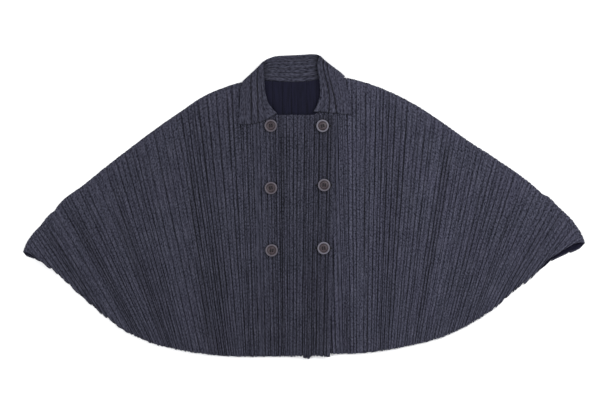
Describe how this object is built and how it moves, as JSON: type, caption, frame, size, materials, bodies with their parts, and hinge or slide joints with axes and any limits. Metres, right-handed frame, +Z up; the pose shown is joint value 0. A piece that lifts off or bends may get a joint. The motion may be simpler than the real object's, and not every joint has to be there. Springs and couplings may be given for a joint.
{
  "type": "poncho coat",
  "caption": "Accordion-pleated poncho coat laid flat on its back, with wide dolman sleeves, a turned-down collar, a lapped button front and open neck, cuffs and hem.",
  "frame": {"origin": "middle of the laid coat's bounding box, on the surface it lies on", "axes": "+X towards the wearer's left sleeve, +Y towards the collar, +Z up from the surface through the stacked cloth"},
  "size_m": [1.123, 0.6079, 0.0174],
  "materials": {
    "pleated_cloth": "heathered, pleated, matte",
    "button": "moulded, semi-matte"
  },
  "bodies": {
    "root": {"back": "pleated_cloth", "front_right": "pleated_cloth", "front_left": "pleated_cloth", "collar": "pleated_cloth", "button_right_top": "button", "button_right_middle": "button", "button_right_low": "button", "button_left_top": "button", "button_left_middle": "button", "button_left_low": "button"}
  },
  "joints": []
}
